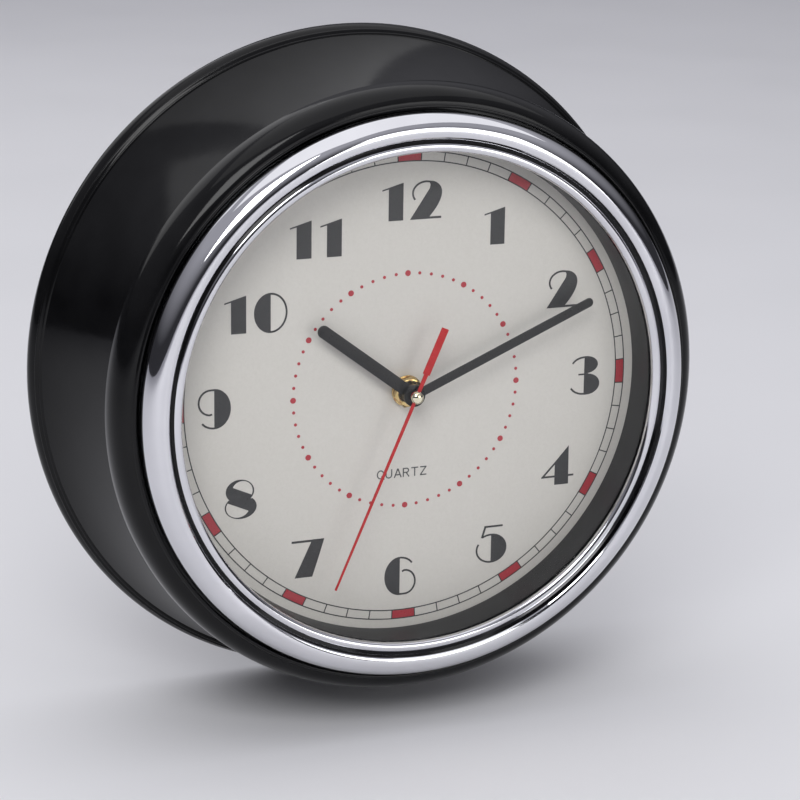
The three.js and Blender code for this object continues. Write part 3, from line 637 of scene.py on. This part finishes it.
def dial():
    """The paper-faced disc with its centre hole."""
    back = DIAL_DEPTH - 0.6
    outline = rounded([
        (4.3, back),
        (DIAL_RADIUS - GAP, back),
        (DIAL_RADIUS - GAP, DIAL_DEPTH, 0.1),
        (4.3, DIAL_DEPTH, 0.1),
    ])
    adopt("dial_face", turned(outline, 192), PAPER, "case", ["dial_sheet"])


def digit_1():
    return [[[(0, 12.9), (2.95, 13.65), (2.95, 0), (9.6, 0), (9.6, 16.2), (0, 13.5)]]]


def digit_2():
    hook = ribbon(arc(7.2, 11.3, 6.0, 4.86, 215, 72), THIN)
    body = (
        [(8.9, 15.5), (9.15, 14.6), (8.9, 13.2), (0, 0), (14.3, 0), (14.3, 0.95), (8.9, 0.95)]
        + bezier((8.9, 0.95), (14.6, 7.2), (14.5, 11.5))
        + arc(9.0, 11.5, 5.5, 4.85, 0, 88, 16)
    )
    return [[hook], [body]]


def digit_3():
    upper = arc(7.6, 13.6, 6.0, 3.95, 90, -80)
    lower = arc(8.3, 4.7, 6.3, 4.8, 82, -90)
    lobes = [(6.97, 17.5), *upper, *lower, (6.97, -0.1)]
    top = ribbon(arc(6.97, 12.6, 6.3, 4.5, 90, 155), THIN)
    bar = [(4.2, 9.0), (6.97, 9.0), (6.97, 9.7), (4.2, 9.7)]
    foot = ribbon(arc(6.97, 5.6, 6.9, 5.25, 270, 205), THIN)
    return [[lobes], [top], [bar], [foot]]


def digit_4():
    stem = [(6.3, 0), (13.1, 0), (12.9, 17.8), (6.3, 10.6)]
    left = [(-0.2, 3.5), (6.3, 3.5), (6.3, 4.4), (1.5, 4.4), (6.3, 9.4), (6.3, 10.6), (-0.2, 3.9)]
    right = [(13.08, 3.5), (15.6, 3.5), (15.6, 4.4), (13.07, 4.4)]
    return [[stem], [left], [right]]


def digit_5():
    flag = [(4.1, 17.4), (12.9, 17.4), (12.9, 16.5), (4.85, 16.5), (3.6, 12.4), (2.4, 11.8)]
    shoulder = ribbon(arc(7.36, 5.8, 8.2, 7.35, 90, 122), THIN)
    bowl = arc(7.36, 6.78, 7.6, 6.78, 90, -90)
    tail = ribbon(arc(7.36, 6.2, 6.9, 5.8, 150, 270), THIN)
    return [[flag], [shoulder], [bowl], [tail]]


def digit_6():
    body = arc(7.2, 8.85, 7.2, 8.85, 90, 270)
    hook = ribbon(arc(7.2, 11.9, 6.4, 5.4, 90, 28), THIN)
    bowl = ribbon([(8.3, 10.8)] + arc(9.6, 5.9, 4.85, 5.45, 95, -90) + [(7.2, 0.45)], THIN)
    return [[body], [hook], [bowl]]


def digit_7():
    return [[[(0, 15.9), (9.0, 15.9), (1.4, 0), (9.5, 0), (12.4, 8.6), (15, 16.9), (0, 16.9)]]]


def beyond(ellipse, start, end):
    """The points of a closed ellipse that lie to the left of the line from start to end."""
    across, rise = end[0] - start[0], end[1] - start[1]
    return [(x, z) for x, z in ellipse if across * (z - start[1]) > rise * (x - start[0])]


def digit_8():
    outline = arc(7.05, 12.3, 6.35, 5.25, 222, -42, 40) + arc(7.35, 5.3, 7.15, 5.25, 42, -222, 44)
    over = beyond(arc(8.05, 12.35, 4.65, 4.5, 240, 600, 72), (3.6, 14.0), (11.0, 10.6))
    under = beyond(arc(6.1, 5.25, 5.25, 4.5, 60, 420, 72), (10.6, 3.6), (2.6, 7.3))
    return [[outline, over, under]]


def digit_9():
    body = arc(7.23, 8.8, 7.35, 8.75, 90, -90)
    bowl = ribbon([(7.23, 17.1)] + arc(5.6, 11.7, 5.2, 5.4, 90, 265) + [(6.3, 6.6)], THIN)
    hook = ribbon(arc(7.23, 5.6, 6.3, 5.15, 270, 212), THIN)
    return [[body], [bowl], [hook]]


def digit_0():
    return [[arc(7.4, 8.65, 7.4, 8.65, 90, 270)], [ribbon(arc(7.4, 8.65, 7.05, 8.22, 90, -90), THIN)]]


# Each digit's left edge and baseline on the dial.
DIGIT_PLACES = [
    (digit_1, 34.9, 61.5),
    (digit_2, 65.4, 31.2),
    (digit_3, 77.7, -9.5),
    (digit_4, 65.4, -50.1),
    (digit_5, 34.2, -83.2),
    (digit_6, -9.1, -93.2),
    (digit_7, -52.2, -79.8),
    (digit_8, -82.5, -50.1),
    (digit_9, -93.9, -9.3),
    (digit_1, -82.1, 31.1),
    (digit_0, -69.1, 30.4),
    (digit_1, -53.3, 61.1),
    (digit_1, -39.8, 61.1),
    (digit_1, -12.2, 74.7),
    (digit_2, 0.5, 74.7),
]


def printed(name, shapes, material):
    """Thin printed shapes on the dial, each a list of loops: its outline, then its holes."""
    bm = bmesh.new()
    for loops in shapes:
        rings = [[Vector((x, z, 0)) for x, z in loop] for loop in loops]
        corners = [bm.verts.new(point(x, z, PRINT[0])) for loop in loops for x, z in loop]
        for triangle in geometry.tessellate_polygon(rings):
            bm.faces.new([corners[i] for i in triangle])
    sheet = bmesh.ops.extrude_face_region(bm, geom=bm.faces[:])
    raised = [part for part in sheet["geom"] if isinstance(part, bmesh.types.BMVert)]
    bmesh.ops.translate(bm, verts=raised, vec=(0, -(PRINT[1] - PRINT[0]) * MM, 0))
    adopt(name, bm, material, "case", ())


def numerals():
    """The twelve hours in a thick-and-thin face."""
    shapes = []
    for digit, left, base in DIGIT_PLACES:
        for loops in digit():
            shapes.append([[(x + left, z + base) for x, z in loop] for loop in loops])
    printed("numerals", shapes, INK_BLACK)


def ring_band(inner, outer):
    """A full ring about the centre: its outline, then its hole."""
    return [arc(0, 0, radius, radius, 0, 360, 240)[:-1] for radius in (outer, inner)]


def wedge(inner, outer, centre, half):
    """A piece of a ring between two angles, clockwise from twelve."""
    start, end = 90 - centre - half, 90 - centre + half
    return arc(0, 0, outer, outer, start, end, 6) + arc(0, 0, inner, inner, end, start, 6)


def minute_track():
    """Two fine circles, with a dividing line half way between minutes."""
    lines = [ring_band(track - LINE / 2, track + LINE / 2) for track in (TRACK_IN, TRACK_OUT)]
    width = math.degrees(LINE / TRACK_OUT) / 2
    inner, outer = TRACK_IN + LINE / 2, TRACK_OUT - LINE / 2
    lines += [[wedge(inner, outer, 6 * minute + 3, width)] for minute in range(60)]
    blocks = [[wedge(inner, outer, 30 * hour, 3 - width)] for hour in range(12)]
    printed("minute_track", lines, INK_BLACK)
    printed("hour_blocks", blocks, INK_RED)


def dot_ring():
    """Sixty red dots, larger at the hours."""
    dots = []
    for minute in range(60):
        x, z = polar(DOT_RING, 6 * minute)
        radius = 1.3 if minute % 5 == 0 else 0.72
        dots.append([arc(x, z, radius, radius, 0, 360, 20)[:-1]])
    printed("dot_ring", dots, INK_RED)


def line(start, end):
    """One straight stroke of a letter."""
    return [ribbon([start, end], STROKE)]


def letter_q(h):
    rx, rz = 1.75, h / 2
    bowl = [arc(rx, rz, rx - inset, rz - inset, 0, 360, 28)[:-1] for inset in (0, STROKE)]
    return [bowl, line((2.1, 1.2), (3.6, -0.2))]


def letter_u(h):
    bowl = [ribbon(arc(1.6, 1.5, 1.3, 1.25, 180, 360, 14), STROKE)]
    return [line((0.3, h), (0.3, 1.5)), bowl, line((2.9, 1.5), (2.9, h))]


def letter_a(h):
    return [line((0.15, 0), (1.75, h)), line((1.75, h), (3.35, 0)), line((0.7, 1.3), (2.8, 1.3))]


def letter_r(h):
    top, middle = h - STROKE / 2, 2.0
    radius = (top - middle) / 2
    bowl = [ribbon(arc(1.8, middle + radius, radius, radius, 90, -90, 10), STROKE)]
    bars = [line((0.3, top), (1.8, top)), line((0.3, middle), (1.8, middle))]
    return [line((0.3, 0), (0.3, h)), *bars, bowl, line((1.6, middle), (3.0, 0))]


def letter_t(h):
    return [line((0, h - STROKE / 2), (3.2, h - STROKE / 2)), line((1.6, h - STROKE), (1.6, 0))]


def letter_z(h):
    top, foot = h - STROKE / 2, STROKE / 2
    slope = line((2.85, top), (0.25, foot))
    return [line((0.1, top), (3.1, top)), slope, line((0.1, foot), (3.1, foot))]


WORD = [letter_q, letter_u, letter_a, letter_r, letter_t, letter_z]


def dial_word():
    """The word for the kind of movement, in plain sans letters below the centre."""
    left, base = -13.2, -39.0
    step = 4.02
    shapes = []
    for i, letter in enumerate(WORD):
        for loops in letter(CAP_HEIGHT):
            shapes.append([[(x + left + i * step, z + base) for x, z in loop] for loop in loops])
    printed("dial_word", shapes, INK_GREY)


# ---------------------------------------------------------------- hands and their fixings


def blade(length, half, hub):
    """A straight blade towards twelve with a round tip and a round end about the axis."""
    lean = math.degrees(math.asin(half / hub))
    tip = arc(0, length - half, half, half, 0, 180, 16)
    return tip + arc(0, 0, hub, hub, 90 + lean, 450 - lean, 40)


def hub(outer, bore, back, front):
    """A short collar about the axis."""
    corners = [(bore, back, 0.1), (outer, back, 0.2), (outer, front, 0.35), (bore, front, 0.1)]
    return turned(rounded(corners, 3), 64)


def straight_hand(name, body, length, half, radius, bore, depths, hub_depths, degrees):
    """The hour or minute hand: a painted blade on a glossier collar."""
    sheet = soften(plate(bmesh.new(), blade(length, half, radius), *depths), 0.14)
    adopt(name + "_blade", turn_about_axis(sheet, degrees), HAND_BLACK, body, [name])
    adopt(name + "_hub", hub(radius, bore, *hub_depths), HUB_BLACK, body, [name])


def second_hand():
    """Tapering pointer, narrow neck and paddle tail, under a bright domed cap."""
    pointer = [
        (0.5, 91), (-0.5, 91), (-0.8, 0), (-1.0, -10.5), (-1.7, -10.5), (-1.7, -32),
        (1.7, -32), (1.7, -10.5), (1.0, -10.5), (0.8, 0),
    ]
    sheet = turn_about_axis(soften(plate(bmesh.new(), pointer, 88.6, 89), 0.1), SECOND_ANGLE)
    adopt("second_hand_pointer", sheet, HAND_RED, "seconds", ["second_hand"])
    boss = hub(2.4, 0.95, 87.9, 89.02)
    adopt("second_hand_boss", boss, HAND_RED, "seconds", ["second_hand"])
    dome = [(0.95, 89.3), (2.6, 89.3)] + arc(0, 89.6, 2.85, 2.1, 0, 90, 14)
    dome += [(0, 90.4), (0.95, 90.4)]
    adopt("second_cap_dome", turned(dome, 64), CAP_GOLD, "seconds", ["second_hand_cap"])


def bushing():
    """Threaded brass sleeve; the thread shows as fine rings above the nut."""
    bore, crest, root, pitch = 2.9, 3.9, 3.62, 0.5
    outline = [(bore, 69), (5.4, 69), (5.4, 69.9), (crest, 69.9)]
    for turn in range(21):
        depth = 71 + turn * pitch
        outline += [(crest, depth), (root, depth + pitch / 2)]
    outline += [(3.5, 82), (bore, 82)]
    adopt("threaded_sleeve", turned(outline, 48), BRASS, "case", ["threaded_bushing"], 50)


def hex_nut():
    """Six flats with a chamfered front, over a flat washer."""
    corner, front = 7.1, 81.4
    hexagon = [polar(corner, 60 * i + 18) for i in range(6)]
    body = plate(bmesh.new(), hexagon, 78.4, front)
    body = adopt("nut", body, BRASS, "case", ["hex_nut"], 30)
    chamfer = turned([
        (corner + 2, front - 1.8),
        (corner + 2, front + 1.6),
        (corner - 1.6, front + 1.6),
        (corner - 1.6, front),
        (corner - 1.1, front - 0.1),
        (corner + 0.2, front - 1.2),
    ], 72)
    bore = turned([(0, 77), (4.1, 77), (4.1, 83), (0, 83)], 48)
    cut(body, [chamfer, bore])
    round_edges(body, 0.12)
    washer = rounded([(4.2, 77.3, 0.1), (6.9, 77.3, 0.2), (6.9, 78.1, 0.25), (4.2, 78.1, 0.1)], 3)
    adopt("nut_washer", turned(washer, 72), BRASS, "case", ["brass_washer"])


# ---------------------------------------------------------------- back


def screw_head(name, node, place, back, head, length):
    """A pan-head screw with a cross recess."""
    outline = arc(0, back + 1.2, head, 1.2, -90, 0, 8)
    outline += [(head, back + 1.7), (1.5, back + 1.7)]
    for turn in range(int(length / 0.8)):
        outline += [(1.5, back + 2.1 + turn * 0.8), (1.15, back + 2.5 + turn * 0.8)]
    outline += [(0, back + 2.5 + length)]
    piece = adopt(name, turned(outline, 48, place), STEEL, "case", [node], 40)
    x, z = place
    arm, half = head * 0.55, 0.35
    depths = (back - 1, back + 1)
    level = block(bmesh.new(), (x - arm, x + arm), depths, (z - half, z + half))
    upright = block(bmesh.new(), (x - half, x + half), depths, (z - arm, z + arm))
    cut(piece, [level, upright])


def screws():
    """Four screws hold the front to the case and two hold the keyhole plate."""
    for number, degrees in enumerate([45, 315, 225, 135], 1):
        place = polar(118.5, degrees)
        screw_head(f"case_screw_head_{number}", f"case_screw_{number}", place, 63.6, 3, 8)
    for side, sign in (("left", -1), ("right", 1)):
        place = (sign * HANGER_SCREW_X, HANGER_SCREW_Z)
        screw_head(f"hanger_screw_head_{side}", f"hanger_screw_{side}", place, 1.0, 3, 5.6)


def keyhole_plate():
    """Stamped steel plate with a keyhole and two screw holes."""
    low, shoulder, high = 112, HANGER_SCREW_Z - 6, 136
    outline = rounded([
        (-30, shoulder, 1.5),
        (-12, low, 1.5),
        (12, low, 1.5),
        (30, shoulder, 1.5),
        (30, high, 1.5),
        (-30, high, 1.5),
    ])
    sheet = plate(bmesh.new(), outline, 3, 4.2)
    piece = adopt("keyhole_plate", sheet, STEEL, "case", ["hanger_plate"], 35)
    entry_z = HANG_HEIGHT - 10
    lean = math.degrees(math.asin(2.5 / 5))
    keyhole = arc(0, HANG_HEIGHT, 2.5, 2.5, 0, 180, 20)
    keyhole += arc(0, entry_z, 5, 5, 90 + lean, 450 - lean, 40)
    holes = [plate(bmesh.new(), keyhole, 2, 6)]
    drill = [(0, 2), (1.9, 2), (1.9, 6), (0, 6)]
    for x in (-HANGER_SCREW_X, HANGER_SCREW_X):
        holes.append(turned(drill, 32, (x, HANGER_SCREW_Z)))
    cut(piece, holes)
    round_edges(piece, 0.15)


def movement_cover():
    """Rear half of the movement with its open battery bay."""
    half = 28
    room = half - 1.2
    outline = rounded([(-half, -half, 3), (half, -half, 3), (half, half, 3), (-half, half, 3)])
    body = plate(bmesh.new(), outline, 54.7, 61.7)
    cover = adopt("movement_rear", body, MATTE, "case", ["movement_cover"], 35)
    bay = block(bmesh.new(), (-room, room), (53, 63), (-room, -11.4))
    hollow = block(bmesh.new(), (-room, room), (56.2, 63), (-10.2, room))
    bore = turned([(0, 53), (2.5, 53), (2.5, 58), (0, 58)], 48, KNOB_PLACE)
    slots = [block(bmesh.new(), (x - 0.6, x + 0.6), (54, 55.3), (14, 24)) for x in (-20, -16, -12)]
    cut(cover, [bay, hollow, bore, *slots])
    round_edges(cover, 0.35)


def setting_knob():
    """Ribbed thumb knob with a shallow dished face."""
    ribs, steps, mean, wave = 18, 108, 4.65, 0.3
    outline = []
    for i in range(steps):
        angle = 360 * i / steps
        x, z = polar(mean + wave * math.cos(math.radians(angle * ribs)), angle)
        outline.append((x + KNOB_PLACE[0], z + KNOB_PLACE[1]))
    bm = soften(plate(bmesh.new(), outline, 51.4, 54.4), 0.25, 60)
    knob = adopt("knob", bm, MATTE, "setting", ["setting_knob"], 40)
    dish = turned([(0, 50), (3.6, 50), (3.6, 51.4), (3.2, 52.1), (0, 52.1)], 48, KNOB_PLACE)
    cut(knob, [dish])
    shaft = turned([(0, 54), (2.2, 54), (2.2, 57.2), (0, 57.2)], 32, KNOB_PLACE)
    adopt("knob_shaft", shaft, MATTE, "setting", ["setting_knob"])


def battery():
    """A cell with a printed jacket, crimped ends and a plus cap."""
    low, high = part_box("battery")
    half = (high.x - low.x) / 2 / MM
    radius = (high.z - low.z) / 2 / MM
    quarter_turn = Matrix.Rotation(math.pi / 2, 4, "Z")
    into_bay = Matrix.Translation((low + high) / 2) @ quarter_turn @ Matrix.Translation(-point(0, 0, 0))

    def along_x(outline, name, material):
        made = turned(outline, 96)
        made.transform(into_bay)
        adopt(name, made, material, "cell", ["battery"])

    jacket = rounded([
        (radius - 0.9, -half + 0.15, 0.2),
        (radius, -half, 0.5),
        (radius, half - 1.6, 0.6),
        (radius - 1.2, half - 1.55, 0.2),
    ])
    along_x(jacket, "battery_jacket", JACKET)
    crimp = [(0, -half + 0.05), (radius - 1, -half + 0.05), (radius - 1.3, -half + 0.5)]
    top = [(radius - 1.3, half - 2), (radius - 1.6, half - 1.5), (3, half - 1.5)]
    nub = [(2.75, half - 1.3), (2.7, half - 0.3), (2.4, half), (0, half)]
    along_x(crimp + top + nub, "battery_ends", STEEL)


# ---------------------------------------------------------------- carried-over CAD nodes

CARRIED = {
    "dial_board": (BOARD, "hardboard"),
    "movement_base": (MATTE, "black_matte"),
    "rubber_washer": (RUBBER, "rubber"),
    "stator": (IRON, "soft_iron"),
    "coil_core": (IRON, "soft_iron"),
    "coil_winding": (COPPER, "copper_wire"),
    "circuit_board": (LAMINATE, "circuit_board"),
    "quartz_crystal": (STEEL, "zinc_steel"),
    "driver_chip": (MATTE, "black_matte"),
    "battery_contact_plus": (STEEL, "zinc_steel"),
    "battery_contact_minus": (STEEL, "zinc_steel"),
    "rotor": (MAGNET, "magnet"),
    "transfer_wheel": (GEAR, "gear_plastic"),
    "seconds_wheel": (GEAR, "gear_plastic"),
    "third_wheel": (GEAR, "gear_plastic"),
    "centre_wheel": (GEAR, "gear_plastic"),
    "minute_arbor": (STEEL, "zinc_steel"),
    "minute_wheel": (GEAR, "gear_plastic"),
    "hour_wheel": (GEAR, "gear_plastic"),
}


def dress_cad_nodes():
    """Gives each CAD node that is kept as it is its own material."""
    for node, (material, slot) in CARRIED.items():
        piece = frame["nodes"][node]
        piece.data.materials.clear()
        piece.data.materials.append(material)


# ---------------------------------------------------------------- studio


def clear_defaults():
    """Removes whatever a new Blender file starts with."""
    keep = set(frame["nodes"].values()) | set(frame["bodies"].values())
    for thing in list(bpy.data.objects):
        if thing not in keep:
            bpy.data.objects.remove(thing)


def floor():
    """A wide pale floor just under the clock."""
    height = CAD_BOX[0][2] - 0.0006
    bm = bmesh.new()
    reach = 6
    corners = [(-reach, -reach), (reach, -reach), (reach, reach), (-reach, reach)]
    bm.faces.new([bm.verts.new((x, y, height)) for x, y in corners])
    mesh = bpy.data.meshes.new("floor")
    bm.to_mesh(mesh)
    bm.free()
    thing = bpy.data.objects.new("floor", mesh)
    bpy.context.scene.collection.objects.link(thing)
    material = new_material("floor", (0.80, 0.80, 0.82), 0.6)
    vary_roughness(material, 6, 0.55, 0.7)
    mesh.materials.append(material)


def softbox(name, place, size, power):
    """A rectangular lamp that faces the clock, with its size in metres and power in watts."""
    data = bpy.data.lights.new(name, "AREA")
    data.shape = "RECTANGLE"
    data.size, data.size_y = size
    data.energy = power
    lamp = bpy.data.objects.new(name, data)
    bpy.context.scene.collection.objects.link(lamp)
    lamp.location = place
    lamp.rotation_euler = (AXIS - Vector(place)).to_track_quat("-Z", "Y").to_euler()


def sky():
    """A plain surround that mirrors as dim walls under a bright ceiling and looks pale itself."""
    world = bpy.data.worlds.new("studio")
    bpy.context.scene.world = world
    world.use_nodes = True
    nodes, links = world.node_tree.nodes, world.node_tree.links
    coords = nodes.new("ShaderNodeTexCoord")
    split = nodes.new("ShaderNodeSeparateXYZ")
    ramp = nodes.new("ShaderNodeValToRGB")
    ramp.color_ramp.elements[0].position = 0.12
    ramp.color_ramp.elements[0].color = (0.035, 0.035, 0.04, 1)
    ramp.color_ramp.elements[1].position = 0.6
    ramp.color_ramp.elements[1].color = (0.42, 0.42, 0.46, 1)
    links.new(coords.outputs["Generated"], split.inputs["Vector"])
    path = nodes.new("ShaderNodeLightPath")
    height = nodes.new("ShaderNodeMath")
    height.operation = "MAXIMUM"
    links.new(split.outputs["Z"], height.inputs[0])
    links.new(path.outputs["Is Camera Ray"], height.inputs[1])
    links.new(height.outputs["Value"], ramp.inputs["Fac"])
    links.new(ramp.outputs["Color"], nodes["Background"].inputs["Color"])


def studio():
    """Soft lamps around the clock under the dim surround."""
    sky()
    softbox("key", (-0.8, -1.5, 1.2), (1.0, 1.0), 19)
    softbox("front", (1.0, -2.1, 0.3), (1.0, 1.0), 9)
    softbox("ceiling", (0.3, 0.2, 2.6), (4.0, 4.0), 36)
    softbox("rear", (-0.6, 1.6, 0.9), (1.6, 1.2), 4)
    bpy.context.scene.view_settings.view_transform = "Standard"


def camera():
    """The viewing angle: left of the clock and a little above it, with a long lens."""
    azimuth, elevation, roll = math.radians(22.1), math.radians(15.7), math.radians(0.85)
    ahead = Vector((math.sin(azimuth), math.cos(azimuth), 0))
    forward = math.cos(elevation) * ahead - math.sin(elevation) * Vector((0, 0, 1))
    level = Vector((math.cos(azimuth), -math.sin(azimuth), 0))
    upright = level.cross(forward)
    right = math.cos(roll) * level + math.sin(roll) * upright
    up = -math.sin(roll) * level + math.cos(roll) * upright
    centre = point(0, 0, DIAL_DEPTH)
    distance, across, down = 1.1275, 0.0026, -0.0043
    data = bpy.data.cameras.new("camera")
    data.lens = 117
    data.sensor_width = 36
    thing = bpy.data.objects.new("camera", data)
    bpy.context.scene.collection.objects.link(thing)
    thing.location = centre - across * right + down * up - distance * forward
    thing.rotation_euler = Matrix((right, up, -forward)).transposed().to_euler()
    bpy.context.scene.camera = thing


# ---------------------------------------------------------------- build

clear_defaults()
rear_case()
hanger_shelf()
front_ring()
bezel()
lens()
inner_wall()
dial()
numerals()
minute_track()
dot_ring()
dial_word()
straight_hand(
    "hour_hand", "hours", length=53.5, half=2.75, radius=4.4, bore=2.9,
    depths=(83, 83.5), hub_depths=(82.4, 84), degrees=HOUR_ANGLE,
)
straight_hand(
    "minute_hand", "minutes", length=90.7, half=2.05, radius=4.8, bore=1.9,
    depths=(86.2, 86.7), hub_depths=(84.6, 87.2), degrees=MINUTE_ANGLE,
)
second_hand()
bushing()
hex_nut()
screws()
keyhole_plate()
movement_cover()
setting_knob()
battery()
dress_cad_nodes()
floor()
studio()
camera()
